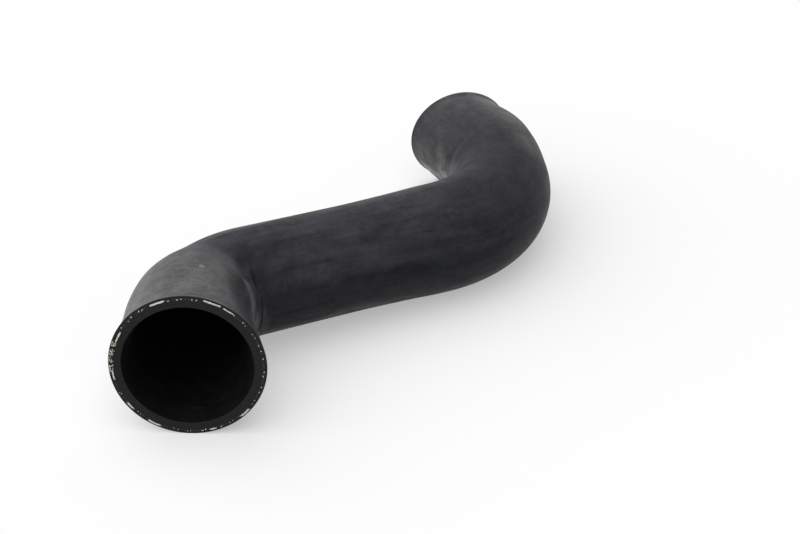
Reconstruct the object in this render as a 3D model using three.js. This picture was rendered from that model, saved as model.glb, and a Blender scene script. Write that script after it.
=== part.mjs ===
import * as THREE from 'three';

// A moulded charge air hose: a wide straight leg, a bend that also narrows, a long straight middle,
// a second bend the other way and a narrower straight leg. The wide end is cut square and the
// narrow end a little askew.
// Lengths are in millimetres and angles in degrees.

// The centreline, from the wide end to the narrow end. The first bend turns right, the second left.
const wideLegLength = 50.5;
const firstBendRadius = 42.6;
const firstBendAngle = 61.3;
const middleLength = 111.9;
const secondBendRadius = 70.3;
const secondBendAngle = 84.8;
const narrowLegLength = 42.8;
// The second bend doesn't lie in the plane of the first: it is turned about the middle by this much.
const secondBendTwist = 3.4;
// Beside its bend each leg bows towards the outside of that bend, most at a place a little way out
// from the bend.
const wideLegBow = 2.7;
const wideLegBowReach = 38;
const narrowLegBow = 3.9;
const narrowLegBowReach = 32;
const bowFromBend = 10;

// Outside diameters along the hose. Each cut end flares a little over its last few millimetres.
const wideEndDiameter = 77.6;
const wideSeatDiameter = 74.8;
const wideNeckDiameter = 69.3;
const firstBendEntryDiameter = 66.9;
const firstBendTaperDiameter = 62.9;
const firstBendMiddleDiameter = 59;
const firstBendExitDiameter = 58.4;
const middleDiameter = 58;
const middleSwellDiameter = 59;
const secondBendEntryDiameter = 60.8;
const secondBendMiddleDiameter = 60.2;
const secondBendExitDiameter = 58.8;
const narrowNeckDiameter = 59.6;
const narrowSeatDiameter = 58;
const narrowEndDiameter = 59.8;
const flareLength = 4.5;
const wideSeatLength = 28;
const narrowSeatLength = 25;

// The narrow cut isn't quite square: it leans to the left and downwards by these angles.
const narrowCutYaw = 9;
const narrowCutPitch = -4.7;

// The wall, and the small break on the edges of the two cuts
const wallThickness = 6.4;
const edgeBreak = 0.4;

// The wide leg is pressed flatter on the side that faces the inside of the first bend.
const flatDepth = 2.6;
const flatStart = 5;
const flatLength = 60;
const flatHalfWidth = 65;

// Soft folds across the inside of the bends, where the rubber is pressed together: a short furrow in
// the middle of the first bend, and a long furrow with a ridge after it round the end of the second.
// Places are measured from the second bend's end, and each reach is half of a fold's length.
const firstFurrowDepth = 0.8;
const firstFurrowReach = 4.5;
const secondFurrowDepth = 1.2;
const secondFurrowReach = 12;
const secondFurrowPlace = -1.5;
const secondRidgeHeight = 0.8;
const secondRidgeReach = 10;
const secondRidgePlace = 16.5;
const foldHalfWidth = 65;

// How finely the wall is divided
const sides = 48;
const closeSpacing = 2.3;
const bendSpacing = 6;
const straightSpacing = 9;
const boreSpacingFactor = 2.2;

const radians = THREE.MathUtils.degToRad;
const up = new THREE.Vector3(0, 0, 1);

// Distances along the centreline at which one stretch gives way to the next
const firstBendStart = wideLegLength;
const firstBendEnd = firstBendStart + firstBendRadius * radians(firstBendAngle);
const secondBendStart = firstBendEnd + middleLength;
const secondBendEnd = secondBendStart + secondBendRadius * radians(secondBendAngle);
const hoseLength = secondBendEnd + narrowLegLength;
const firstBendMiddle = (firstBendStart + firstBendEnd) / 2;
const secondBendMiddle = (secondBendStart + secondBendEnd) / 2;

// 1 at no offset, falling smoothly to 0 at the reach on either side.
function fade(offset, reach) {
  return Math.abs(offset) < reach ? Math.cos((offset / reach) * (Math.PI / 2)) ** 2 : 0;
}

// A frame of the centreline: its point, its direction, and the two directions across it.
function frame(point, along, left) {
  return { point, along, left, above: new THREE.Vector3().crossVectors(along, left) };
}

// The frame that lies a given length further on, straight ahead.
function goStraight(from, length) {
  return frame(from.point.clone().addScaledVector(from.along, length), from.along, from.left);
}

// The frame that lies a given length further on round a bend: turn is 1 to the left, -1 to the right.
function goRound(from, length, bendRadius, turn) {
  const centre = from.point.clone().addScaledVector(from.left, turn * bendRadius);
  const turned = new THREE.Quaternion().setFromAxisAngle(from.above, (turn * length) / bendRadius);
  const point = from.point.clone().sub(centre).applyQuaternion(turned).add(centre);
  return frame(point, from.along.clone().applyQuaternion(turned), from.left.clone().applyQuaternion(turned));
}

// The same frame turned about its own direction.
function twist(from, angle) {
  const turned = new THREE.Quaternion().setFromAxisAngle(from.along, radians(angle));
  return frame(from.point, from.along, from.left.clone().applyQuaternion(turned));
}

// The frame at a distance from the wide end on a route of straight lines and arcs. The wide leg runs
// along +Y.
function route(distance) {
  const start = frame(new THREE.Vector3(), new THREE.Vector3(0, 1, 0), new THREE.Vector3(-1, 0, 0));
  if (distance <= firstBendStart) return goStraight(start, distance);
  const bendOne = goStraight(start, wideLegLength);
  if (distance <= firstBendEnd) return goRound(bendOne, distance - firstBendStart, firstBendRadius, -1);
  const middle = goRound(bendOne, firstBendEnd - firstBendStart, firstBendRadius, -1);
  if (distance <= secondBendStart) return goStraight(middle, distance - firstBendEnd);
  const bendTwo = twist(goStraight(middle, middleLength), secondBendTwist);
  if (distance <= secondBendEnd) return goRound(bendTwo, distance - secondBendStart, secondBendRadius, 1);
  const lastLeg = goRound(bendTwo, secondBendEnd - secondBendStart, secondBendRadius, 1);
  return goStraight(lastLeg, distance - secondBendEnd);
}

// How far the centreline lies to the left of that route: the outside of the first bend is on the
// left and that of the second on the right.
function bowToLeft(distance) {
  const pastWideBow = distance - (firstBendStart - bowFromBend);
  const pastNarrowBow = distance - (secondBendEnd + bowFromBend);
  return wideLegBow * fade(pastWideBow, wideLegBowReach) - narrowLegBow * fade(pastNarrowBow, narrowLegBowReach);
}

// The centreline's frame at a distance from the wide end.
function centreline(distance) {
  const here = route(distance);
  return frame(here.point.clone().addScaledVector(here.left, bowToLeft(distance)), here.along, here.left);
}

// Outside diameter against distance from the wide end
const widths = [
  [0, wideEndDiameter],
  [flareLength, wideSeatDiameter],
  [wideSeatLength, wideNeckDiameter],
  [firstBendStart, firstBendEntryDiameter],
  [firstBendStart + (firstBendEnd - firstBendStart) / 4, firstBendTaperDiameter],
  [firstBendMiddle, firstBendMiddleDiameter],
  [firstBendEnd, firstBendExitDiameter],
  [firstBendEnd + middleLength / 2, middleDiameter],
  [secondBendStart - middleLength / 4, middleSwellDiameter],
  [secondBendStart, secondBendEntryDiameter],
  [secondBendMiddle, secondBendMiddleDiameter],
  [secondBendEnd, secondBendExitDiameter],
  [hoseLength - narrowSeatLength, narrowNeckDiameter],
  [hoseLength - flareLength, narrowSeatDiameter],
  [hoseLength, narrowEndDiameter],
];

// The slope of the width curve at each of its points: level where the width turns back, and
// otherwise the mean that keeps the curve from overshooting between two points.
function widthSlopes() {
  const gap = (k) => widths[k + 1][0] - widths[k][0];
  const rise = (k) => (widths[k + 1][1] - widths[k][1]) / gap(k);
  const last = widths.length - 1;
  return widths.map((_, k) => {
    if (k === 0) return rise(0);
    if (k === last) return rise(last - 1);
    if (rise(k - 1) * rise(k) <= 0) return 0;
    const before = gap(k - 1) + 2 * gap(k);
    const after = 2 * gap(k - 1) + gap(k);
    return (before + after) / (after / rise(k - 1) + before / rise(k));
  });
}

const slopes = widthSlopes();

// Outside radius at a distance from the wide end, by a cubic curve through the widths above.
function outsideRadius(distance) {
  let k = 0;
  while (k < widths.length - 2 && distance > widths[k + 1][0]) k += 1;
  const gap = widths[k + 1][0] - widths[k][0];
  const t = (distance - widths[k][0]) / gap;
  const diameter = widths[k][1] * (1 + 2 * t) * (1 - t) ** 2
    + widths[k + 1][1] * t * t * (3 - 2 * t)
    + gap * t * (1 - t) * (slopes[k] * (1 - t) - slopes[k + 1] * t);
  return diameter / 2;
}

// Distances of the middles of the folds, and the stretch that the second bend's folds take up
const firstFurrow = firstBendMiddle;
const secondFurrow = secondBendEnd + secondFurrowPlace;
const secondRidge = secondBendEnd + secondRidgePlace;
const secondFoldsStart = secondFurrow - secondFurrowReach;
const secondFoldsEnd = secondRidge + secondRidgeReach;

// All that is pressed in at one place. Angles go round the hose from its left side.
function dipAt(distance, angle) {
  const fromLeft = angle > Math.PI ? angle - 2 * Math.PI : angle;
  const fromRight = angle - Math.PI;
  const flat = flatDepth * fade(distance - (flatStart + flatLength / 2), flatLength / 2);
  const firstFold = firstFurrowDepth * fade(distance - firstFurrow, firstFurrowReach);
  const secondFold = secondFurrowDepth * fade(distance - secondFurrow, secondFurrowReach)
    - secondRidgeHeight * fade(distance - secondRidge, secondRidgeReach);
  return flat * fade(fromRight, radians(flatHalfWidth))
    + firstFold * fade(fromRight, radians(foldHalfWidth))
    + secondFold * fade(fromLeft, radians(foldHalfWidth));
}

// Whether a distance lies over a flare or a fold, and whether it lies in a bend.
function isDetailed(distance) {
  const atFlare = distance < flareLength || distance > hoseLength - flareLength;
  const atFirstFold = Math.abs(distance - firstFurrow) < firstFurrowReach;
  return atFlare || atFirstFold || (distance > secondFoldsStart && distance < secondFoldsEnd);
}

function isBent(distance) {
  const inFirst = distance > firstBendStart && distance < firstBendEnd;
  return inFirst || (distance > secondBendStart && distance < secondBendEnd);
}

// Where one spacing of rings gives way to the next
const spacingEnds = [
  0, flareLength, firstBendStart, firstFurrow - firstFurrowReach, firstFurrow + firstFurrowReach,
  firstBendEnd, secondBendStart, secondFoldsStart, secondFoldsEnd, hoseLength - flareLength, hoseLength,
].sort((a, b) => a - b);

// Distances at which the wall gets a ring of points: close together over the flares and folds, and
// further apart over plain bends and straight stretches.
function ringDistances(spacingFactor) {
  const distances = [0];
  for (let k = 1; k < spacingEnds.length; k += 1) {
    const from = spacingEnds[k - 1];
    const length = spacingEnds[k] - from;
    const middle = from + length / 2;
    const plainSpacing = isBent(middle) ? bendSpacing : straightSpacing;
    const spacing = spacingFactor * (isDetailed(middle) ? closeSpacing : plainSpacing);
    const count = Math.ceil(length / spacing);
    for (let n = 1; n <= count; n += 1) distances.push(from + (length * n) / count);
  }
  return distances;
}

// One ring of points round the centreline, starting at the left and turning upwards. The rings of
// the narrow leg lean more and more, up to the lean of the narrow cut.
function ring(distance, radiusAt) {
  const here = centreline(distance);
  const share = Math.max(0, distance - secondBendEnd) / narrowLegLength;
  return Array.from({ length: sides }, (_, k) => {
    const angle = (2 * Math.PI * k) / sides;
    const radius = radiusAt(angle);
    const toLeft = radius * Math.cos(angle);
    const toTop = radius * Math.sin(angle);
    const ahead = toLeft * Math.tan(radians(narrowCutYaw)) + toTop * Math.tan(radians(narrowCutPitch));
    return here.point.clone()
      .addScaledVector(here.left, toLeft)
      .addScaledVector(here.above, toTop)
      .addScaledVector(here.along, share * ahead);
  });
}

// The rings of the whole wall: out along the outside, over the narrow cut, back along the bore and
// over the wide cut. Each edge of a cut is broken by a narrow slope.
function wallRings() {
  const outside = ringDistances(1).map((distance) => {
    const place = THREE.MathUtils.clamp(distance, edgeBreak, hoseLength - edgeBreak);
    return ring(place, (angle) => outsideRadius(place) - dipAt(place, angle));
  });
  const bore = ringDistances(boreSpacingFactor).map((distance) => {
    const place = THREE.MathUtils.clamp(distance, edgeBreak, hoseLength - edgeBreak);
    return ring(place, () => outsideRadius(place) - wallThickness);
  });
  const cutRing = (distance, fromOutside) => ring(distance, () => outsideRadius(distance) - fromOutside);
  const narrowCut = [cutRing(hoseLength, edgeBreak), cutRing(hoseLength, wallThickness - edgeBreak)];
  const wideCut = [cutRing(0, wallThickness - edgeBreak), cutRing(0, edgeBreak)];
  return [...outside, ...narrowCut, ...bore.reverse(), ...wideCut];
}

// Joins each ring to the next, and the last to the first, into one closed skin.
function closedSkin(rings) {
  const positions = rings.flat().flatMap((point) => point.toArray());
  const triangles = [];
  rings.forEach((_, r) => {
    const here = r * sides;
    const next = ((r + 1) % rings.length) * sides;
    for (let k = 0; k < sides; k += 1) {
      const beside = (k + 1) % sides;
      triangles.push(here + k, here + beside, next + beside);
      triangles.push(here + k, next + beside, next + k);
    }
  });
  const skin = new THREE.BufferGeometry();
  skin.setAttribute('position', new THREE.Float32BufferAttribute(positions, 3));
  skin.setIndex(triangles);
  skin.computeVertexNormals();
  return skin;
}

// The middle of the hose's mass: each short length of wall counts by how much rubber it holds.
function centreOfMass() {
  const slices = 200;
  const sum = new THREE.Vector3();
  let total = 0;
  for (let k = 0; k < slices; k += 1) {
    const distance = ((k + 0.5) / slices) * hoseLength;
    const weight = 2 * outsideRadius(distance) - wallThickness;
    sum.addScaledVector(centreline(distance).point, weight);
    total += weight;
  }
  return sum.divideScalar(total);
}

// The horizontal direction at right angles to the line through two supports, on the side where the
// centre of mass lies. With one support it is the direction from it to the centre of mass.
function tippingDirection(points, supports) {
  const first = points[supports[0]];
  if (supports.length === 1) return new THREE.Vector3(-first.x, -first.y, 0).normalize();
  const second = points[supports[1]];
  const across = new THREE.Vector3(first.y - second.y, second.x - first.x, 0).normalize();
  return across.dot(first) > 0 ? across.negate() : across;
}

// The point that reaches the floor first as the hose tips, and the angle it tips by.
function nextContact(points, supports, direction) {
  const pivot = points[supports[0]];
  let best = { index: -1, angle: Math.PI };
  points.forEach((point, index) => {
    if (supports.includes(index)) return;
    const ahead = (point.x - pivot.x) * direction.x + (point.y - pivot.y) * direction.y;
    if (ahead < 1e-6) return;
    const angle = Math.atan2(Math.max(point.z - pivot.z, 0), ahead);
    if (angle < best.angle) best = { index, angle };
  });
  return best;
}

// The support that the centre of mass lies beyond, or -1 if it lies between all three.
function looseSupport(points, supports) {
  const [a, b, c] = supports.map((index) => points[index]);
  const area = (p, q) => p.x * q.y - p.y * q.x;
  const shares = [area(b, c), area(c, a), area(a, b)];
  const whole = shares[0] + shares[1] + shares[2];
  const least = shares.map((share) => share / whole);
  const worst = least.indexOf(Math.min(...least));
  return least[worst] >= 0 ? -1 : worst;
}

// The turn that lays the hose at rest on a level floor: it tips over each support in turn until its
// centre of mass lies between three of them.
function restingTurn(skinPoints, balance) {
  let points = skinPoints.map((point) => point.clone().sub(balance));
  const turn = new THREE.Quaternion();
  let supports = [points.reduce((low, point, index) => (point.z < points[low].z ? index : low), 0)];
  for (let step = 0; step < 300; step += 1) {
    const direction = tippingDirection(points, supports);
    const contact = nextContact(points, supports, direction);
    const axis = new THREE.Vector3().crossVectors(up, direction);
    const tip = new THREE.Quaternion().setFromAxisAngle(axis, contact.angle);
    points = points.map((point) => point.applyQuaternion(tip));
    turn.premultiply(tip);
    supports.push(contact.index);
    if (supports.length < 3) continue;
    const loose = looseSupport(points, supports);
    if (loose < 0) break;
    supports = supports.filter((_, k) => k !== loose);
  }
  return turn;
}

// The black rubber, and the hose laid on the floor with the middle of its footprint at the origin
const rings = wallRings();
const rubber = new THREE.MeshStandardMaterial({ color: 0x2b2b2e, roughness: 0.62, metalness: 0 });
const hose = new THREE.Mesh(closedSkin(rings), rubber);
hose.name = 'hose';
hose.quaternion.copy(restingTurn(rings.flat(), centreOfMass()));
hose.updateMatrixWorld(true);
const lying = new THREE.Box3().setFromObject(hose, true);
const footprint = lying.getCenter(new THREE.Vector3());
hose.position.set(-footprint.x, -footprint.y, -lying.min.z);

const chargeAirHose = new THREE.Group();
chargeAirHose.add(hose);

export default chargeAirHose;
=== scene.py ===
"""Looks of the charge air hose: its rubber, the cut ends with their yarns, a floor, light and a camera."""

import math

import bpy
import numpy as np
from mathutils import Matrix, Quaternion, Vector


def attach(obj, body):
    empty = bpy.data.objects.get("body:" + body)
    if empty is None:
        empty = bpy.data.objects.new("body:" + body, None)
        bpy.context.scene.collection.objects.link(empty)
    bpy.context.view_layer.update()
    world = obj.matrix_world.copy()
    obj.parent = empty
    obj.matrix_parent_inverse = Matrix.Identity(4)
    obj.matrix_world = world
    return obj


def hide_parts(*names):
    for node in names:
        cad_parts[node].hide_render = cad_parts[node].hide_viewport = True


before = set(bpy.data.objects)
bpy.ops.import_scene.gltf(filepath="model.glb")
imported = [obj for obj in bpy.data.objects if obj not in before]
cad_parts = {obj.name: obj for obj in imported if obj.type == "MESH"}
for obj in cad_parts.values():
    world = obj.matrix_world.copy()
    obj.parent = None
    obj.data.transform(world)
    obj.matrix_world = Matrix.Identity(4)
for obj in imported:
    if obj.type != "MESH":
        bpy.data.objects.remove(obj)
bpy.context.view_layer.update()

MM = 0.001

# The centreline, from the wide end to the narrow end, in millimetres and degrees
WIDE_LEG = 50.5
FIRST_BEND_RADIUS = 42.6
FIRST_BEND_ANGLE = 61.3
MIDDLE = 111.9
SECOND_BEND_RADIUS = 70.3
SECOND_BEND_ANGLE = 84.8
SECOND_BEND_TWIST = 3.4
NARROW_LEG = 42.8
WIDE_LEG_BOW = 2.7
WIDE_LEG_BOW_REACH = 38
NARROW_LEG_BOW = 3.9
NARROW_LEG_BOW_REACH = 32
BOW_FROM_BEND = 10
NARROW_CUT_YAW = 9
NARROW_CUT_PITCH = -4.7

FIRST_BEND_START = WIDE_LEG
FIRST_BEND_END = FIRST_BEND_START + FIRST_BEND_RADIUS * math.radians(FIRST_BEND_ANGLE)
SECOND_BEND_START = FIRST_BEND_END + MIDDLE
SECOND_BEND_END = SECOND_BEND_START + SECOND_BEND_RADIUS * math.radians(SECOND_BEND_ANGLE)
LENGTH = SECOND_BEND_END + NARROW_LEG
FIRST_BEND_MIDDLE = (FIRST_BEND_START + FIRST_BEND_END) / 2
SECOND_BEND_MIDDLE = (SECOND_BEND_START + SECOND_BEND_END) / 2

# Outside diameters against distance from the wide end
FLARE = 4.5
WIDTHS = [
    (0, 77.6),
    (FLARE, 74.8),
    (28, 69.3),
    (FIRST_BEND_START, 66.9),
    (FIRST_BEND_START + (FIRST_BEND_END - FIRST_BEND_START) / 4, 62.9),
    (FIRST_BEND_MIDDLE, 59),
    (FIRST_BEND_END, 58.4),
    (FIRST_BEND_END + MIDDLE / 2, 58),
    (SECOND_BEND_START - MIDDLE / 4, 59),
    (SECOND_BEND_START, 60.8),
    (SECOND_BEND_MIDDLE, 60.2),
    (SECOND_BEND_END, 58.8),
    (LENGTH - 25, 59.6),
    (LENGTH - FLARE, 58),
    (LENGTH, 59.8),
]
WALL = 6.4
EDGE_BREAK = 0.4
EDGE_STEP = 0.15

# What is pressed into the outside: (side, middle, reach along, depth, half width in degrees). Sides are
# angles round the hose from its left: 90 is the top and 180 the right. A negative depth stands out.
PRESSED = [
    (180, 35, 30, 2.6, 65),
    (180, FIRST_BEND_MIDDLE, 4.5, 0.8, 65),
    (0, SECOND_BEND_END - 1.5, 12, 1.2, 65),
    (0, SECOND_BEND_END + 16.5, 10, -0.8, 65),
]

# The ridge between the wide leg and the first bend, by places that it runs through (distance, angle)
RIDGE = [(18, 163), (34, 168.5), (42, 166.5), (50, 159.5), (61, 153), (66, 144)]

# Creases finer than those: places they run through, half width and depth
CREASES = [
    ([(10, 148), (28, 146), (46, 145), (58, 139), (66, 132), (76, 126)], 5, 0.9),
    (RIDGE, 3, -0.9),
    ([(76, 139), (73.5, 146), (73, 154)], 2, 0.5),
    ([(80, 118), (82, 130), (80, 142)], 2.5, 0.25),
]

# How the laid hose is turned and where its wide end is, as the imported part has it
REST_TURN = Quaternion((0.999566, -0.029299, -0.003123, -0.000377))
WIDE_END_PLACE = Vector((-74.0563, -137.8361, 38.6268)) * MM

# How finely the skin is divided: points round it, distances between its rings, and rings of a cut
SIDES = 240
FINE_STEP = 0.9
PLAIN_STEP = 1.5
BORE_STEP = 6
FINE_STRETCHES = [(0, 92), (290, 345)]
CUT_RING_INSETS = (EDGE_BREAK, 1.3, 2.3, 3.6, 4.9, WALL - EDGE_BREAK)

# Kinds of surface, in the order of the skin's materials
OUTSIDE, CUT, BORE = 0, 1, 2

# Yarns that show on the cuts lie this far in from the outside
YARN_INSET = 1.8


def width_slopes():
    """The slope of the width curve at each of its points, level where the width turns back."""
    at, wide = np.array(WIDTHS).T
    gap = np.diff(at)
    rise = np.diff(wide) / gap
    slopes = np.zeros(len(at))
    slopes[0], slopes[-1] = rise[0], rise[-1]
    for k in range(1, len(at) - 1):
        if rise[k - 1] * rise[k] > 0:
            before, after = gap[k - 1] + 2 * gap[k], 2 * gap[k - 1] + gap[k]
            slopes[k] = (before + after) / (after / rise[k - 1] + before / rise[k])
    return slopes


SLOPES = width_slopes()


def outside_radius(distance):
    """The outside radius at a distance from the wide end."""
    at = [place for place, _ in WIDTHS]
    k = min(max(int(np.searchsorted(at, distance)) - 1, 0), len(at) - 2)
    gap = at[k + 1] - at[k]
    t = (distance - at[k]) / gap
    wide = WIDTHS[k][1] * (1 + 2 * t) * (1 - t) ** 2 + WIDTHS[k + 1][1] * t * t * (3 - 2 * t)
    wide += gap * t * (1 - t) * (SLOPES[k] * (1 - t) - SLOPES[k + 1] * t)
    return wide / 2


class Place:
    """A place on the centreline: its point, the way along, and the two ways across."""

    def __init__(self, point, along, left):
        self.point = point
        self.along = along
        self.left = left
        self.above = along.cross(left)

    def straight(self, length):
        """Further on by a length, straight ahead."""
        return Place(self.point + self.along * length, self.along, self.left)

    def round(self, length, radius, turn):
        """Further on round a bend: turn is 1 to the left and -1 to the right."""
        centre = self.point + self.left * (turn * radius)
        turned = Quaternion(self.above, turn * length / radius)
        return Place(centre + turned @ (self.point - centre), turned @ self.along, turned @ self.left)

    def twisted(self, angle):
        """The same point with its ways across turned by an angle in degrees."""
        return Place(self.point, self.along, Quaternion(self.along, math.radians(angle)) @ self.left)


def fade(offset, reach):
    """1 at no offset, falling smoothly to 0 at the reach on either side."""
    return np.where(np.abs(offset) < reach, np.cos(np.clip(offset / reach, -1, 1) * math.pi / 2) ** 2, 0)


def smooth_step(value, start, end):
    """0 before the start, 1 past the end and smooth between them."""
    t = np.clip((value - start) / (end - start), 0, 1)
    return t * t * (3 - 2 * t)


def route(distance):
    """The place at a distance from the wide end on lines and arcs, before the hose is laid down."""
    start = Place(Vector((0, 0, 0)), Vector((0, 1, 0)), Vector((-1, 0, 0)))
    if distance <= FIRST_BEND_START:
        return start.straight(distance)
    bend_one = start.straight(WIDE_LEG)
    if distance <= FIRST_BEND_END:
        return bend_one.round(distance - FIRST_BEND_START, FIRST_BEND_RADIUS, -1)
    middle = bend_one.round(FIRST_BEND_END - FIRST_BEND_START, FIRST_BEND_RADIUS, -1)
    if distance <= SECOND_BEND_START:
        return middle.straight(distance - FIRST_BEND_END)
    bend_two = middle.straight(MIDDLE).twisted(SECOND_BEND_TWIST)
    if distance <= SECOND_BEND_END:
        return bend_two.round(distance - SECOND_BEND_START, SECOND_BEND_RADIUS, 1)
    last = bend_two.round(SECOND_BEND_END - SECOND_BEND_START, SECOND_BEND_RADIUS, 1)
    return last.straight(distance - SECOND_BEND_END)


def centreline(distance):
    """The place at a distance from the wide end, bowed beside each bend."""
    here = route(distance)
    wide_bow = WIDE_LEG_BOW * fade(distance - FIRST_BEND_START + BOW_FROM_BEND, WIDE_LEG_BOW_REACH)
    narrow_bow = NARROW_LEG_BOW * fade(distance - SECOND_BEND_END - BOW_FROM_BEND, NARROW_LEG_BOW_REACH)
    return Place(here.point + here.left * float(wide_bow - narrow_bow), here.along, here.left)


def narrow_lean(to_left, to_top):
    """How far along the hose the narrow cut leans at a place across it."""
    yaw, pitch = math.radians(NARROW_CUT_YAW), math.radians(NARROW_CUT_PITCH)
    return to_left * math.tan(yaw) + to_top * math.tan(pitch)


def laid(points):
    """Points of the hose as it is drawn, moved to where they are when it lies on the floor."""
    return points @ np.array(REST_TURN.to_matrix()).T * MM + np.array(WIDE_END_PLACE)


def from_side(angle, side):
    """Angles measured from a side of the hose given in degrees, within half a turn either way."""
    return (angle - math.radians(side) + math.pi) % (2 * math.pi) - math.pi


def on_path(distance, angle, path, half_width):
    """1 on a path over the outside, falling to 0 at half its width beside it."""
    nearest = np.full(len(angle), np.inf)
    radius = outside_radius(distance)
    for (start, start_angle), (end, end_angle) in zip(path, path[1:]):
        along = end - start
        around = math.radians(end_angle - start_angle) * radius
        past = distance - start
        beside = from_side(angle, start_angle) * radius
        share = np.clip((past * along + beside * around) / (along**2 + around**2), 0, 1)
        nearest = np.minimum(nearest, np.hypot(past - share * along, beside - share * around))
    return fade(nearest, half_width)


def dips(distance, angle):
    """How far the outside is pressed in, at one distance and an array of angles from the left."""
    depth = np.zeros(len(angle))
    for side, middle, reach, deep, half_width in PRESSED:
        across = fade(from_side(angle, side), math.radians(half_width))
        depth = depth + deep * fade(distance - middle, reach) * across
    for path, half_width, deep in CREASES:
        depth = depth + deep * on_path(distance, angle, path, half_width)
    return depth


# Where the outside is paler: rubbed pale patches, painted highlights on the ridge by the first bend and on
# its upper edge, painted light on the wide leg's right flank and a painted reflection in the narrow leg's
# inner corner. Places that each mark runs through, half width and strength
RUBBED_AND_HIGHLIGHTS = [
    # On the wide leg and the first bend
    # Painted highlight along the ridge's lit side
    ([(20, 166), (30, 168), (37, 167), (43, 162), (48, 154), (52, 147), (55, 140)], 3.6, 1.1),
    ([(34, 118), (42, 117)], 9, 0.3),
    # Painted light on the wide leg's right flank beside its outline
    ([(38, 182), (48, 181)], 6, 0.75),
    ([(78, 190), (90, 206)], 9, 0.25),
    # Painted highlight along the upper edge where the first bend meets the middle
    ([(90, 67), (104, 66)], 9, 0.3),
    # On the middle
    ([(116, 154), (133, 163)], 8, 0.16),
    ([(145, 124), (159, 121)], 8, 0.16),
    # On the second bend
    ([(262, 180), (274, 174)], 9, 0.5),
    ([(270, 172), (286, 164), (300, 150)], 11, 0.35),
    ([(316, 0), (304, 7), (292, 12), (276, 24)], 9, 0.5),
    # On the narrow leg
    ([(290, 125), (310, 112), (346, 108), (356, 120)], 17, 0.95),
    # Painted reflection in the narrow leg's inner corner, in this mark and the next two
    ([(316, -36), (330, -38), (350, -42)], 15, 0.7),
    ([(317, -12), (325, -20), (333, -28), (346, -34)], 8, 1.9),
    ([(326, -16), (323, -6), (321, 3), (324, 10)], 8, 1.2),
    ([(356, -10), (338, -6)], 16, 0.44),
    ([(356, 78), (332, 84)], 17, 0.28),
]

# Where the outside is painted darker, given in the same way: painted shade in the crease and folds of the
# first bend, on flanks turned from the lamp and in the second bend's folds, and darker tone on the middle
PAINTED_SHADE = [
    # On the wide leg and the first bend
    ([(0, 60), (1, 90), (8, 118)], 8, 0.24),
    ([(2, 151), (12, 142), (30, 137)], 10.5, 0.6),
    ([(14, 149), (26, 153), (37, 154)], 7, 0.62),
    ([(30, 137), (46, 136)], 10, 0.42),
    ([(54, 168), (62, 165), (72, 152), (78, 140)], 5.5, 0.65),
    ([(63, 142), (72, 130)], 5, 0.35),
    ([(78, 120), (84, 130), (88, 146), (86, 158)], 17, 0.36),
    # On the middle
    ([(98, 90), (150, 92)], 22, 0.17),
    # On the second bend and the narrow leg
    ([(220, 150), (250, 150), (285, 140)], 30, 0.27),
    ([(225, 104), (265, 105), (295, 104)], 34, 0.3),
    ([(262, 80), (285, 70), (322, 46)], 34, 0.24),
    ([(302, 28), (288, 42)], 10, 0.24),
    ([(314, 16), (311, 30), (312, 50)], 9, 0.36),
    ([(355, -10), (355, 60)], 3.5, 0.35),
]

# Distances over which the wide leg's bloom and painted light end, angles from the right over which the
# painted shade on its right side gives way to bloom, and how much bloom the right side itself has
WIDE_BLOOM_END = (48, 74)
SHADED_RIGHT_SIDE = (36, 68)
RIGHT_BLOOM = 0.04
# Painted light that the wide leg's left side has more, and how many degrees that reaches either way
LEFT_PAINTED_LIGHT = 1.3
LEFT_PAINTED_LIGHT_REACH = 70
# Distances over which the narrow leg's bloom begins, how strong it is, and the painted reflection that its
# right side has more
NARROW_BLOOM_START = (300, 322)
NARROW_BLOOM = 0.3
NARROW_RIGHT_REFLECTION = 0.1
NARROW_RIGHT_REACH = 120


def strokes(distance, angle, marks):
    """The strongest of some soft marks drawn over the outside."""
    drawn = [strength * on_path(distance, angle, path, half_width) for path, half_width, strength in marks]
    return np.max(drawn, axis=0)


def bloom_and_light(distance, angle):
    """How much pale bloom and painted light lie on the outside: bloom most on the wide leg, with painted
    light on its left side and painted shade leaving its right side bare, some on the narrow leg with a
    painted reflection on its right, and more where the rubber is rubbed or a highlight is painted. Above 1
    it is paler still."""
    from_right = from_side(angle, 180)
    # Painted shade: the right side, turned from the lamp, is left almost without bloom
    past_right = smooth_step(np.abs(from_right), *np.radians(SHADED_RIGHT_SIDE))
    # Painted light on the left side, which faces the lamp
    left_side = LEFT_PAINTED_LIGHT * fade(from_side(angle, 0), math.radians(LEFT_PAINTED_LIGHT_REACH))
    wide_leg = RIGHT_BLOOM + (1 - RIGHT_BLOOM) * past_right + left_side
    wide_leg = wide_leg * (1 - smooth_step(distance, *WIDE_BLOOM_END))
    # Painted reflection along the narrow leg's right side
    narrow_right = NARROW_RIGHT_REFLECTION * fade(from_right, math.radians(NARROW_RIGHT_REACH))
    narrow_leg = (NARROW_BLOOM + narrow_right) * smooth_step(distance, *NARROW_BLOOM_START)
    return wide_leg + narrow_leg + strokes(distance, angle, RUBBED_AND_HIGHLIGHTS)


ANGLES = np.linspace(0, 2 * math.pi, SIDES, endpoint=False)


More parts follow.
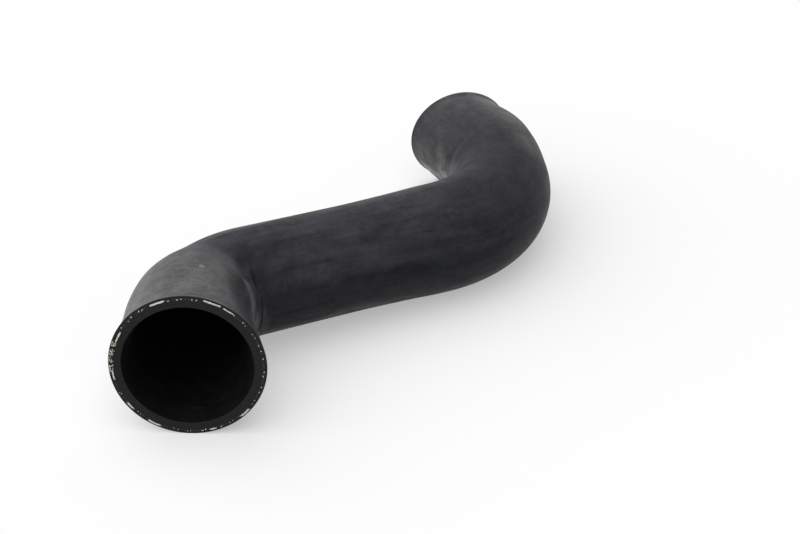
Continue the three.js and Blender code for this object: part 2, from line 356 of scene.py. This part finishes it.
class Ring:
    """One ring of points in the laid hose, with what its materials need to know about them."""

    def __init__(self, distance, inset=0, dip=0):
        radii = outside_radius(distance) - inset - dip
        here = centreline(distance)
        to_left = radii * np.cos(ANGLES)
        to_top = radii * np.sin(ANGLES)
        lean = narrow_lean(to_left, to_top) * max(0, distance - SECOND_BEND_END) / NARROW_LEG
        points = np.array(here.point) + np.outer(to_left, here.left) + np.outer(to_top, here.above)
        self.points = laid(points + np.outer(lean, here.along))
        self.straight = np.column_stack([to_left, to_top, np.full(SIDES, distance)]) * MM
        # The bloom holds painted light, painted shade and painted highlights as well
        self.bloom_and_light = bloom_and_light(distance, ANGLES)
        self.painted_shade = strokes(distance, ANGLES, PAINTED_SHADE)
        self.inset = np.full(SIDES, inset) * MM


def outside_distances():
    """Distances of the outside's rings, closer together where the rubber is creased."""
    distances = [EDGE_BREAK]
    while distances[-1] < LENGTH - EDGE_BREAK:
        fine = any(start <= distances[-1] < end for start, end in FINE_STRETCHES)
        distances.append(distances[-1] + (FINE_STEP if fine else PLAIN_STEP))
    distances[-1] = LENGTH - EDGE_BREAK
    return distances


def cut_rings(distance, inward):
    """The rings of a cut, from its outside edge to its bore, with both edges broken."""
    outer_edge = Ring(distance + inward * EDGE_STEP, EDGE_STEP)
    inner_edge = Ring(distance + inward * EDGE_STEP, WALL - EDGE_STEP)
    return [outer_edge] + [Ring(distance, inset) for inset in CUT_RING_INSETS] + [inner_edge]


def wall_rings():
    """Out along the outside, over the narrow cut, back along the bore and over the wide cut, with the
    kind of surface that follows each ring."""
    outside = [Ring(distance, 0, dips(distance, ANGLES)) for distance in outside_distances()]
    bore = [Ring(distance, WALL) for distance in np.arange(LENGTH - EDGE_BREAK, EDGE_BREAK, -BORE_STEP)]
    bore.append(Ring(EDGE_BREAK, WALL))
    narrow_cut = cut_rings(LENGTH, -1)
    wide_cut = cut_rings(0, 1)[::-1]
    kinds = [OUTSIDE] * len(outside) + [CUT] * len(narrow_cut) + [BORE] * len(bore) + [CUT] * len(wide_cut)
    return outside + narrow_cut + bore + wide_cut, kinds


def linked(name, data):
    """A mesh, lamp or lens as an object of the scene."""
    piece = bpy.data.objects.new(name, data)
    bpy.context.scene.collection.objects.link(piece)
    return piece


def closed_skin(name, rings, kinds):
    """A mesh object from rings joined each to the next, and the last to the first."""
    here = np.arange(len(rings))[:, None] * SIDES + np.arange(SIDES)[None, :]
    beside = np.roll(here, -1, axis=1)
    following = np.roll(here, -1, axis=0)
    diagonal = np.roll(beside, -1, axis=0)
    faces = np.stack([here, beside, diagonal, following], axis=-1).reshape(-1, 4)
    mesh = bpy.data.meshes.new(name)
    mesh.from_pydata(np.concatenate([ring.points for ring in rings]).tolist(), [], faces.tolist())
    straight = mesh.attributes.new("straight", "FLOAT_VECTOR", "POINT")
    straight.data.foreach_set("vector", np.concatenate([ring.straight for ring in rings]).ravel())
    for label in ("bloom_and_light", "painted_shade", "inset"):
        layer = mesh.attributes.new(label, "FLOAT", "POINT")
        layer.data.foreach_set("value", np.concatenate([getattr(ring, label) for ring in rings]))
    face_kinds = np.repeat(kinds, SIDES)
    mesh.polygons.foreach_set("material_index", face_kinds)
    mesh.polygons.foreach_set("use_smooth", face_kinds != CUT)
    mesh.update()
    return linked(name, mesh)


class Cut:
    """A cut face: places on it are given by angle, inset from the outside and height above it."""

    def __init__(self, distance, outward):
        self.here = centreline(distance)
        self.radius = outside_radius(distance)
        self.outward = outward
        self.narrow = distance > 0

    def point(self, angle, inset, height):
        """The point at a place on the cut, in the hose as it is drawn."""
        turn = math.radians(angle)
        to_left = (self.radius - inset) * math.cos(turn)
        to_top = (self.radius - inset) * math.sin(turn)
        lean = narrow_lean(to_left, to_top) if self.narrow else 0
        here = self.here
        out = here.along * (lean + self.outward * height)
        return here.point + here.left * to_left + here.above * to_top + out


class Strands:
    """Fine tubes that are gathered into one mesh."""

    def __init__(self, name):
        self.name = name
        self.points = []
        self.faces = []

    def add(self, course, radius, sides=6):
        """A tube along a course of points in the hose as drawn, closed by caps."""
        first = len(self.points)
        for k, point in enumerate(course):
            ahead = (course[min(k + 1, len(course) - 1)] - course[max(k - 1, 0)]).normalized()
            across = ahead.orthogonal().normalized()
            for n in range(sides):
                turn = Quaternion(ahead, 2 * math.pi * n / sides)
                self.points.append(point + (turn @ across) * radius)
        for k in range(len(course) - 1):
            low = first + k * sides
            for n in range(sides):
                after = (n + 1) % sides
                self.faces.append((low + n, low + after, low + sides + after, low + sides + n))
        self.faces.append(tuple(first + n for n in reversed(range(sides))))
        self.faces.append(tuple(len(self.points) - sides + n for n in range(sides)))

    def piece(self):
        """The tubes as one object."""
        mesh = bpy.data.meshes.new(self.name)
        mesh.from_pydata(laid(np.array(self.points)).tolist(), [], self.faces)
        mesh.polygons.foreach_set("use_smooth", [True] * len(mesh.polygons))
        mesh.update()
        return linked(self.name, mesh)


# Yarns on the wide cut that lie along it: from angle, to angle, inset from the outside
LONG_YARNS = [
    (21, 30, 2.4), (63.7, 75.2, 1.7), (104.7, 117.2, 1.3), (119.8, 128.6, 1.6), (218.9, 228.3, 1.3),
    (250.3, 254.9, 1.7), (293.5, 304, 1.5), (317.9, 325.3, 1.8), (347.6, 355.7, 1.9),
]
# Yarns on the wide cut that are seen end on, by angle, and after them the fainter ones
YARN_STUBS = [
    34, 46, 54, 57, 78, 85, 88, 96, 99, 130, 138, 161, 166, 173, 184, 188, 198, 202, 246, 259, 261,
]
FAINT_STUBS = [42, 141, 150, 154, 211, 214, 236, 239, 270, 273, 280, 284, 312, 314, 334, 336]
# How many threads each kind of yarn shows
LONG_THREADS = 6
STUB_THREADS = 3
FAINT_THREADS = 1
THREAD_RADIUS = 0.18

# A long yarn's threads: the step between their points, and how far in degrees their ends vary
LONG_STEP = 0.8
ENDS_RUN_ON = 0.6
ENDS_FALL_SHORT = 1.2
# How far they lie beside the yarn's middle, how far they waver, their ends' height and what halfway adds
LONG_SPREAD = 0.28
LONG_WAVER = 0.1
LONG_END_HEIGHT = 0.12
LONG_ARCH = 0.22

# A stub's threads: how far in degrees they turn, how far they spread, how deep they start, their length
STUB_TURN = 0.5
STUB_SPREAD = 0.3
STUB_DEPTH = 0.3
STUB_LENGTH = 0.55

# Small tufts of threads pulled loose: their angles on the wide cut, and how many threads each has
LOOSE_TUFTS = (-1.5, 4.5, 11, 18.5)
TUFT_THREADS = 7
# How far in degrees a loose thread starts beside its tuft's angle, and how far it runs on
LOOSE_SPREAD = 1.5
LOOSE_REACH = 3
# Its inset at the start, how far it slants and curls from there, and the insets that it stays between
LOOSE_INSETS = (0.8, 3)
LOOSE_SLANT = 1.6
LOOSE_CURL = 0.3
CURL_RADIANS = 6
LOOSE_LIMITS = (0.3, 4.2)
# How much it rises halfway, the height of its ends, its radius, and how many points it has
LOOSE_RISE = (0.1, 1.1)
LOOSE_END_HEIGHT = 0.05
LOOSE_RADIUS = (0.1, 0.2)
LOOSE_POINTS = 7

# The narrow cut's yarns: first and last angle, share and sweep of the long ones, and gaps between yarns
NARROW_YARNS_START = 4
NARROW_YARNS_END = 352
NARROW_LONG_SHARE = 0.3
NARROW_LONG_SWEEP = (6, 13)
NARROW_GAP = (5, 14)

YARN_SEED = 7


def either_way(draw, reach):
    """A random offset within a reach on either side."""
    return draw.uniform(-reach, reach)


def add_long_yarn(strands, cut, start, end, inset, draw):
    """A bundle of threads along the cut, a little frayed."""
    steps = max(3, int(abs(end - start) * math.radians(cut.radius) / LONG_STEP))
    for _ in range(LONG_THREADS):
        begin = start + draw.uniform(-ENDS_RUN_ON, ENDS_FALL_SHORT)
        finish = end + draw.uniform(-ENDS_FALL_SHORT, ENDS_RUN_ON)
        aside = inset + either_way(draw, LONG_SPREAD)
        waver = draw.uniform(-LONG_WAVER, LONG_WAVER, steps + 1)
        course = []
        for k in range(steps + 1):
            angle = begin + (finish - begin) * k / steps
            height = LONG_END_HEIGHT + LONG_ARCH * math.sin(math.pi * k / steps) + waver[k] / 2
            course.append(cut.point(angle, aside + waver[k], height))
        strands.add(course, THREAD_RADIUS)


def add_stub(strands, cut, angle, inset, threads, draw):
    """The ends of some threads that were cut across."""
    for _ in range(threads):
        begin = angle + either_way(draw, STUB_TURN)
        aside = inset + either_way(draw, STUB_SPREAD)
        lean = either_way(draw, STUB_TURN)
        shares = (0, 0.5, 1)
        course = [cut.point(begin + lean * t, aside, STUB_LENGTH * t - STUB_DEPTH) for t in shares]
        strands.add(course, THREAD_RADIUS)


def add_loose_yarns(strands, cut, draw):
    """Small tufts of threads pulled out of the cut."""
    for angle in np.repeat(LOOSE_TUFTS, TUFT_THREADS):
        begin = angle + either_way(draw, LOOSE_SPREAD)
        inset = draw.uniform(*LOOSE_INSETS)
        reach = either_way(draw, LOOSE_REACH)
        slant = either_way(draw, LOOSE_SLANT)
        curl = either_way(draw, LOOSE_CURL)
        rise = draw.uniform(*LOOSE_RISE)
        course = []
        for t in np.linspace(0, 1, LOOSE_POINTS):
            aside = np.clip(inset + slant * t + curl * math.sin(CURL_RADIANS * t), *LOOSE_LIMITS)
            height = rise * math.sin(math.pi * t) + LOOSE_END_HEIGHT
            course.append(cut.point(begin + reach * t, aside, height))
        strands.add(course, draw.uniform(*LOOSE_RADIUS))


def add_wide_yarns(strands, draw):
    """The wide cut's yarns, where they are seen to be."""
    cut = Cut(0, -1)
    for start, end, inset in LONG_YARNS:
        add_long_yarn(strands, cut, start, end, inset, draw)
    for angles, threads in ((YARN_STUBS, STUB_THREADS), (FAINT_STUBS, FAINT_THREADS)):
        for angle in angles:
            add_stub(strands, cut, angle, YARN_INSET + either_way(draw, STUB_SPREAD), threads, draw)
    add_loose_yarns(strands, cut, draw)


def add_narrow_yarns(strands, draw):
    """The narrow cut's yarns, placed at random in the wide cut's manner."""
    cut = Cut(LENGTH, 1)
    angle = NARROW_YARNS_START
    while angle < NARROW_YARNS_END:
        if draw.random() < NARROW_LONG_SHARE:
            sweep = draw.uniform(*NARROW_LONG_SWEEP)
            add_long_yarn(strands, cut, angle, angle + sweep, YARN_INSET, draw)
            angle += sweep
        else:
            add_stub(strands, cut, angle, YARN_INSET, STUB_THREADS, draw)
        angle += draw.uniform(*NARROW_GAP)


def yarn_ends():
    """The yarns of the wall's fabric where the two cuts lay them bare."""
    draw = np.random.default_rng(YARN_SEED)
    strands = Strands("yarn_ends")
    add_wide_yarns(strands, draw)
    add_narrow_yarns(strands, draw)
    return strands.piece()


SHEEN_ROUGHNESS = 0.35
# Which inputs of a mix node take its share and its two colours, and which output gives the blend
MIX_INPUTS = (0, 6, 7)
MIX_RESULT = 2


class Look:
    """A material under construction. Its helpers add nodes and give the socket with the result."""

    def __init__(self, name):
        self.material = bpy.data.materials.new(name)
        self.material.use_nodes = True
        self.nodes = self.material.node_tree.nodes
        self.shader = self.nodes["Principled BSDF"]

    def feed(self, socket, value):
        """Links a result to a socket, or sets the socket to a plain value."""
        if isinstance(value, bpy.types.NodeSocket):
            self.material.node_tree.links.new(value, socket)
        else:
            socket.default_value = value

    def attribute(self, name, output="Fac"):
        """What the mesh says of each point: a number, or a place when the output is Vector."""
        node = self.nodes.new("ShaderNodeAttribute")
        node.attribute_name = name
        return node.outputs[output]

    def maths(self, operation, *values):
        """One operation on numbers."""
        node = self.nodes.new("ShaderNodeMath")
        node.operation = operation
        for socket, value in zip(node.inputs, values):
            self.feed(socket, value)
        return node.outputs[0]

    def total(self, first, *others):
        """The sum of some numbers."""
        for other in others:
            first = self.maths("ADD", first, other)
        return first

    def product(self, first, *others):
        """Some numbers multiplied together."""
        for other in others:
            first = self.maths("MULTIPLY", first, other)
        return first

    def gap(self, first, second):
        """How far apart two numbers are."""
        return self.maths("ABSOLUTE", self.maths("SUBTRACT", first, second))

    def vector_node(self, operation, vector):
        """A node with one operation on a vector."""
        node = self.nodes.new("ShaderNodeVectorMath")
        node.operation = operation
        self.feed(node.inputs[0], vector)
        return node

    def stretched(self, place, along, around=1):
        """A place whose distances along and across the hose are scaled, for patterns drawn out one way."""
        node = self.vector_node("MULTIPLY", place)
        node.inputs[1].default_value = (around, around, along)
        return node.outputs[0]

    def distance_from(self, place, point):
        """How far a place is from a fixed point."""
        node = self.vector_node("DISTANCE", place)
        node.inputs[1].default_value = point
        return node.outputs["Value"]

    def brightened(self, colour, strength):
        """A colour times a strength."""
        node = self.vector_node("SCALE", colour)
        self.feed(node.inputs["Scale"], strength)
        return node.outputs[0]

    def split(self, place):
        """The three parts of a place."""
        node = self.nodes.new("ShaderNodeSeparateXYZ")
        self.feed(node.inputs[0], place)
        return node.outputs

    def noise(self, place, size, detail=2.0, roughness=0.5):
        """Soft noise around a half, with patches of a size in millimetres."""
        node = self.nodes.new("ShaderNodeTexNoise")
        self.feed(node.inputs["Vector"], place)
        node.inputs["Scale"].default_value = 1 / (size * MM)
        node.inputs["Detail"].default_value = detail
        node.inputs["Roughness"].default_value = roughness
        return node.outputs["Fac"]

    def ramp(self, value, start, end, low=0.0, high=1.0):
        """From low at the start to high at the end, smoothly and no further."""
        node = self.nodes.new("ShaderNodeMapRange")
        node.interpolation_type = "SMOOTHSTEP"
        for socket, number in zip(node.inputs, (value, start, end, low, high)):
            self.feed(socket, number)
        return node.outputs[0]

    def patches(self, place, size, low, high, spread=0.2, **noise):
        """Noise that wanders from low to high. The less it spreads, the crisper the patches are."""
        return self.ramp(self.noise(place, size, **noise), 0.5 - spread, 0.5 + spread, low, high)

    def line(self, off, outer, inner):
        """1 within the inner distance off a line and 0 past the outer one, both in millimetres."""
        return self.ramp(off, outer * MM, inner * MM)

    def blend(self, share, first, second):
        """The first colour where the share is 0, and the second where it is 1."""
        node = self.nodes.new("ShaderNodeMix")
        node.data_type = "RGBA"
        for number, value in zip(MIX_INPUTS, (share, first, second)):
            self.feed(node.inputs[number], value)
        return node.outputs[MIX_RESULT]

    def bump(self, height, depth):
        """Turns a height of 0 to 1 into relief of a depth in millimetres."""
        node = self.nodes.new("ShaderNodeBump")
        node.inputs["Distance"].default_value = depth * MM
        self.feed(node.inputs["Height"], height)
        return node.outputs["Normal"]

    def finish(self, colour, roughness, specular, normal=None, sheen=0):
        """The finished material."""
        self.shader.inputs["Sheen Weight"].default_value = sheen
        self.shader.inputs["Sheen Roughness"].default_value = SHEEN_ROUGHNESS
        self.feed(self.shader.inputs["Base Color"], colour)
        self.feed(self.shader.inputs["Roughness"], roughness)
        self.shader.inputs["Specular IOR Level"].default_value = specular
        if normal:
            self.feed(self.shader.inputs["Normal"], normal)
        return self.material


def grey(level):
    """A plain grey as a colour."""
    return (level, level, level, 1)


RUBBER_COLOUR = (0.0315, 0.032, 0.038, 1)
LOWER_COLOUR = (0.017, 0.0178, 0.0215, 1)
PAINTED_BOUNCE_COLOUR = (0.042, 0.042, 0.045, 1)
BLOOM_AND_LIGHT_COLOUR = (0.108, 0.107, 0.111, 1)
PALE_COLOUR = grey(0.32)
RUBBER_SHEEN = 0.035
# Heights, 1 at the top and -1 below, between which the rubber turns to its lower colour and to a painted
# bounce light on its underside, and how much the first of these edges wavers
LOWER_EDGE = (0.37, 0.2)
BOUNCE_LIGHT_EDGE = (-0.4, -0.75)
LOWER_EDGE_WAVER = 0.16
# The level of bloom and painted light from which the rubber turns to its pale colour, and at which it has
# it
PALE_BLOOM_AND_LIGHT = (1, 2.6)
# Ribs round the hose: their pitch, how far they waver in radians, the levels of bloom and painted light
# between which they fade, and how strong they are before and after
RIB_PITCH = 1.25
RIB_WAVER = 5
RIB_BLOOM = (0.15, 0.6)
RIB_STRENGTH = (0.5, 0.08)
# How high the ribs stand as a share of the rubber's unevenness
RIB_RELIEF = 0.25
# The tone that the patterns are added to
PLAIN_TONE = 0.91
# Distances over which the bands along the hose begin, and over which its patterns weaken
BANDS_BEGIN = (55, 90)
PATTERNS_WEAKEN = (200, 250)

# A ring-shaped scuff on the wide leg: distance and angle of its middle, its radius and its strength
RING_SCUFF = (41, 100.7, 1.0, 0.75)
# Thin pale scratches that run round the hose: distance and angle at both ends, and strength
SCRATCHES = [
    (192, 72, 200, 86, 0.045), (200, 86, 206, 102, 0.045),
    (176, 103, 180.5, 112, 0.045), (180.5, 112, 183.3, 123, 0.05), (183.3, 123, 184, 137, 0.035),
]
# How much of a scratch's length fades out at each end
SCRATCH_FADE = 0.1


def straight_point(distance, angle):
    """A place on the outside as the materials know it."""
    radius = outside_radius(distance)
    turn = math.radians(angle)
    return (radius * math.cos(turn) * MM, radius * math.sin(turn) * MM, distance * MM)


def scratch(look, turn, along, start, start_angle, end, end_angle):
    """1 on a thin line round the hose between two places."""
    sweep = end_angle - start_angle
    share = look.maths("MULTIPLY_ADD", turn, 1 / math.radians(sweep), -start_angle / sweep)
    begun = look.ramp(share, -SCRATCH_FADE, SCRATCH_FADE)
    not_over = look.ramp(share, 1 + SCRATCH_FADE, 1 - SCRATCH_FADE)
    centre = look.maths("MULTIPLY_ADD", share, (end - start) * MM, start * MM)
    return look.product(begun, not_over, look.line(look.gap(along, centre), outer=0.45, inner=0.1))


def scuffs(look, place, x, y, along):
    """Small pale marks: a broken ring and a few thin scratches."""
    distance, angle, radius, ring_strength = RING_SCUFF
    away = look.distance_from(place, straight_point(distance, angle))
    ring = look.line(look.gap(away, radius * MM), outer=0.65, inner=0.15)
    broken = look.ramp(look.noise(place, size=1.1, detail=1), start=0.35, end=0.5, low=0.3)
    marks = look.product(ring, broken, ring_strength)
    turn = look.maths("ARCTAN2", y, x)
    for *ends, strength in SCRATCHES:
        line = look.product(scratch(look, turn, along, *ends), strength)
        marks = look.maths("MAXIMUM", marks, line)
    return marks


def weakening(look, along, left_over):
    """1 at first, falling to what is left over in the first half of the second bend."""
    start, end = PATTERNS_WEAKEN
    return look.ramp(along, start * MM, end * MM, low=1, high=left_over)


def rib_pattern(look, place, along):
    """Fine ribs round the hose, left by the wrapping, strong in some lengthwise patches."""
    waver = look.product(look.noise(place, size=5, detail=3), RIB_WAVER)
    phase = look.maths("MULTIPLY_ADD", along, 2 * math.pi / (RIB_PITCH * MM), waver)
    ribs = look.maths("MULTIPLY_ADD", look.maths("SINE", phase), 0.5, 0.5)
    long_patches = look.noise(look.stretched(place, along=0.25), size=7)
    strong = look.ramp(long_patches, start=0.46, end=0.6, low=0.08)
    return look.product(ribs, strong, weakening(look, along, left_over=0.5))


def lengthwise_pattern(look, place, along):
    """Darker and paler bands along the hose, clearest on the middle."""
    drawn_out = look.stretched(place, along=0.13)
    bands = look.patches(drawn_out, size=5.5, low=-0.2, high=0.17, spread=0.17, detail=3, roughness=0.62)
    lines = look.patches(look.stretched(place, along=0.06), size=1.5, low=-0.05, high=0.05)
    start, end = BANDS_BEGIN
    begun = look.ramp(along, start * MM, end * MM, low=0.2)
    return look.product(look.total(bands, lines), begun, weakening(look, along, left_over=0.32))


def crosswise_pattern(look, place, bloom_and_light_here):
    """Smudges and fine scratches round the hose, clearest in the bloom and painted light."""
    short = look.stretched(place, along=2.6, around=0.35)
    shorter = look.stretched(place, along=6, around=0.5)
    smudges = look.patches(short, size=3.5, low=-0.07, high=0.06, spread=0.18, detail=4, roughness=0.65)
    scratches = look.patches(shorter, size=4, low=-0.07, high=0.07, detail=3, roughness=0.7)
    clearest = look.ramp(bloom_and_light_here, start=0, end=0.4, low=0.25)
    return look.product(look.total(smudges, scratches), clearest)


def mottle(look, place, bloom_and_light_here):
    """Soft patches and fine grain that are the same every way, clearest off the bloom and painted light.
    """
    wide = look.patches(place, size=11, low=-0.1, high=0.1, spread=0.17, detail=3, roughness=0.6)
    small = look.patches(place, size=3, low=-0.08, high=0.08, spread=0.18, detail=3, roughness=0.6)
    grain = look.patches(place, size=0.8, low=-0.07, high=0.07)
    clearest = look.ramp(bloom_and_light_here, start=0.1, end=0.4, low=1.35, high=1)
    return look.product(look.total(wide, small, grain), clearest)


def rubber_tone(look, place, height, bloom_and_light_here):
    """The rubber's colour before its patterns: darker low down, paler underneath with painted bounce
    light, and the bloom and painted light over.
    """
    edge = look.noise(look.stretched(place, along=0.15), size=9)
    lower = look.ramp(look.maths("MULTIPLY_ADD", edge, LOWER_EDGE_WAVER, height), *LOWER_EDGE)
    tone = look.blend(lower, RUBBER_COLOUR, LOWER_COLOUR)
    # Painted light: the underside is made paler as if lit from the floor
    tone = look.blend(look.ramp(height, *BOUNCE_LIGHT_EDGE), tone, PAINTED_BOUNCE_COLOUR)
    patchy = look.product(bloom_and_light_here, look.patches(place, size=12, low=0.82, high=1.1, detail=3))
    # The bloom colour also carries painted light and painted highlights; above 1 they turn pale grey
    tone = look.blend(patchy, tone, BLOOM_AND_LIGHT_COLOUR)
    return look.blend(look.ramp(patchy, *PALE_BLOOM_AND_LIGHT), tone, PALE_COLOUR)


def rubber():
    """Matt black rubber with lengthwise bands, fine ribs from the wrapping and a pale bloom, with painted
    light, painted highlights and painted shade laid over it.
    """
    look = Look("rubber")
    place = look.attribute("straight", "Vector")
    x, y, along = look.split(place)
    radius = look.maths("SQRT", look.total(look.product(x, x), look.product(y, y)))
    bloom_and_light_here = look.attribute("bloom_and_light")
    tone = rubber_tone(look, place, look.maths("DIVIDE", y, radius), bloom_and_light_here)
    ribs = rib_pattern(look, place, along)
    rib_strength = look.ramp(bloom_and_light_here, *RIB_BLOOM, *RIB_STRENGTH)
    variation = look.total(
        look.maths("MULTIPLY_ADD", ribs, rib_strength, PLAIN_TONE),
        lengthwise_pattern(look, place, along),
        crosswise_pattern(look, place, bloom_and_light_here),
        mottle(look, place, bloom_and_light_here),
    )
    # Painted shade darkens the colour where the mesh holds it
    variation = look.product(variation, look.maths("SUBTRACT", 1, look.attribute("painted_shade")))
    marks = scuffs(look, place, x, y, along)
    colour = look.blend(marks, look.brightened(tone, variation), PALE_COLOUR)
    roughness = look.ramp(variation, start=0.6, end=1.2, low=0.6, high=0.48)
    relief = look.maths("MULTIPLY_ADD", ribs, RIB_RELIEF, look.noise(place, size=7))
    normal = look.bump(relief, depth=0.1)
    return look.finish(colour, roughness, specular=0.1, normal=normal, sheen=RUBBER_SHEEN)


CUT_COLOUR = (0.0135, 0.0135, 0.0138, 1)
CUT_PALE_COLOUR = (0.034, 0.034, 0.0345, 1)
LAYER_COLOUR = (0.12, 0.12, 0.1, 1)
LAYER_STRENGTH = 0.4


def cut_rubber():
    """The cut wall: dull black, finely pitted, with the fabric's layer as a faint ring."""
    look = Look("cut_rubber")
    place = look.attribute("straight", "Vector")
    pits = look.noise(place, size=0.6, detail=3, roughness=0.6)
    ring = look.line(look.gap(look.attribute("inset"), YARN_INSET * MM), outer=0.7, inner=0.1)
    broken = look.ramp(look.noise(place, size=1.2, detail=1), start=0.4, end=0.65)
    tone = look.blend(look.ramp(pits, start=0.35, end=0.7), CUT_COLOUR, CUT_PALE_COLOUR)
    colour = look.blend(look.product(ring, broken, LAYER_STRENGTH), tone, LAYER_COLOUR)
    return look.finish(colour, roughness=0.8, specular=0.1, normal=look.bump(pits, depth=0.12))


# The bore's rubber is painted far darker than the outside's: painted shade inside the tube
BORE_SHADE_COLOUR = (0.003, 0.003, 0.0032, 1)
BORE_PALE_SHADE_COLOUR = (0.0052, 0.0052, 0.0056, 1)
# Thin pale lines on the floor of the bore, given as the scratches are
BORE_LINES = [(9.5, -102, 10.5, -88, 0.3), (11, -112, 15, -128, 0.3)]
BORE_LINE_COLOUR = grey(0.045)


def bore_rubber():
    """The bore: painted deep black as shade, dull, with two faint lines."""
    look = Look("bore_rubber")
    place = look.attribute("straight", "Vector")
    x, y, along = look.split(place)
    turn = look.maths("ARCTAN2", y, x)
    soft = look.noise(place, size=8)
    tone = look.blend(look.ramp(soft, start=0.35, end=0.65), BORE_SHADE_COLOUR, BORE_PALE_SHADE_COLOUR)
    for *ends, strength in BORE_LINES:
        line = look.product(scratch(look, turn, along, *ends), strength)
        tone = look.blend(line, tone, BORE_LINE_COLOUR)
    return look.finish(tone, roughness=0.8, specular=0.06, normal=look.bump(soft, depth=0.1))


YARN_COLOUR = (0.62, 0.6, 0.5, 1)
YARN_PALE_COLOUR = (0.9, 0.89, 0.82, 1)


def yarn():
    """Cream polyester threads."""
    look = Look("yarn")
    place = look.nodes.new("ShaderNodeTexCoord").outputs["Object"]
    fuzz = look.noise(place, size=0.5, detail=3)
    tone = look.blend(look.ramp(fuzz, start=0.35, end=0.65), YARN_COLOUR, YARN_PALE_COLOUR)
    return look.finish(tone, roughness=0.85, specular=0.2, normal=look.bump(fuzz, depth=0.05))


# The floor: its reach in metres, the level of grey that it has for the light it throws back, and the share
# of its white that takes shadow, while the rest of the white is its own light
FLOOR_REACH = 6
FLOOR_FILL = 0.55
SHADOW_DEPTH = 0.6
FLOOR_ROUGHNESS = 0.9

# Light: what the room gives to dull surfaces, and one wide soft lamp high on the left, in degrees
ROOM_FILL = 0.2
LAMP_STRENGTH = 2.85
LAMP_WIDTH = 110
LAMP_HEADING = -70
LAMP_HEIGHT = 61

# The camera: its lens and sensor in millimetres, how near it sees and its place in metres, and how it is
# turned in degrees
LENS = 81
SENSOR_WIDTH = 36
NEAREST_SEEN = 0.05
CAMERA_PLACE = (0.03602, -0.85732, 0.53262)
CAMERA_DOWN = 31.175
CAMERA_HEADING = 0.626
CAMERA_ROLL = 0.83


def seen_directly(tree):
    """1 for rays from the camera, mirrored or passing through, and 0 for the rest."""
    rays = tree.nodes.new("ShaderNodeLightPath")
    result = rays.outputs["Is Camera Ray"]
    for name in ("Is Glossy Ray", "Is Transmission Ray"):
        either = tree.nodes.new("ShaderNodeMath")
        either.operation = "MAXIMUM"
        tree.links.new(result, either.inputs[0])
        tree.links.new(rays.outputs[name], either.inputs[1])
        result = either.outputs[0]
    return result


def floor():
    """A wide white floor that takes the hose's shadow and throws a little light back."""
    corners = [(FLOOR_REACH * x, FLOOR_REACH * y, 0) for x, y in ((-1, -1), (1, -1), (1, 1), (-1, 1))]
    mesh = bpy.data.meshes.new("floor")
    mesh.from_pydata(corners, [], [(0, 1, 2, 3)])
    look = Look("floor")
    direct = seen_directly(look.material.node_tree)
    colour = look.blend(direct, grey(FLOOR_FILL), grey(SHADOW_DEPTH))
    mesh.materials.append(look.finish(colour, FLOOR_ROUGHNESS, specular=0))
    look.feed(look.shader.inputs["Emission Strength"], look.product(direct, 1 - SHADOW_DEPTH))
    look.material.cycles.emission_sampling = "NONE"
    linked("floor", mesh)


def room():
    """A room that is seen white and gives a little light from every side."""
    world = bpy.data.worlds.new("room")
    world.use_nodes = True
    tree = world.node_tree
    background = tree.nodes["Background"]
    background.inputs["Color"].default_value = (1, 1, 1, 1)
    strength = tree.nodes.new("ShaderNodeMapRange")
    tree.links.new(seen_directly(tree), strength.inputs["Value"])
    strength.inputs["To Min"].default_value = ROOM_FILL
    tree.links.new(strength.outputs[0], background.inputs["Strength"])
    bpy.context.scene.world = world


def lamp():
    """One wide soft lamp."""
    light = bpy.data.lights.new("lamp", "SUN")
    light.energy = LAMP_STRENGTH
    light.angle = math.radians(LAMP_WIDTH)
    piece = linked("lamp", light)
    heading, height = math.radians(LAMP_HEADING), math.radians(LAMP_HEIGHT)
    level = math.cos(height)
    towards = Vector((math.sin(heading) * level, -math.cos(heading) * level, math.sin(height)))
    piece.rotation_mode = "QUATERNION"
    piece.rotation_quaternion = towards.to_track_quat("Z", "Y")


def camera():
    """A long lens that looks down at the hose from the wide end's side."""
    lens = bpy.data.cameras.new("camera")
    lens.sensor_width = SENSOR_WIDTH
    lens.lens = LENS
    lens.clip_start = NEAREST_SEEN
    piece = linked("camera", lens)
    piece.matrix_world = (
        Matrix.Translation(CAMERA_PLACE)
        @ Matrix.Rotation(math.radians(CAMERA_HEADING), 4, "Z")
        @ Matrix.Rotation(math.radians(90 - CAMERA_DOWN), 4, "X")
        @ Matrix.Rotation(math.radians(CAMERA_ROLL), 4, "Z")
    )
    bpy.context.scene.camera = piece


hose = closed_skin("hose_wall", *wall_rings())
for material in (rubber(), cut_rubber(), bore_rubber()):
    hose.data.materials.append(material)
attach(hose, "root")
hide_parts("hose")
yarns = yarn_ends()
yarns.data.materials.append(yarn())
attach(yarns, "root")
floor()
room()
lamp()
camera()
bpy.context.scene.view_settings.view_transform = "Standard"
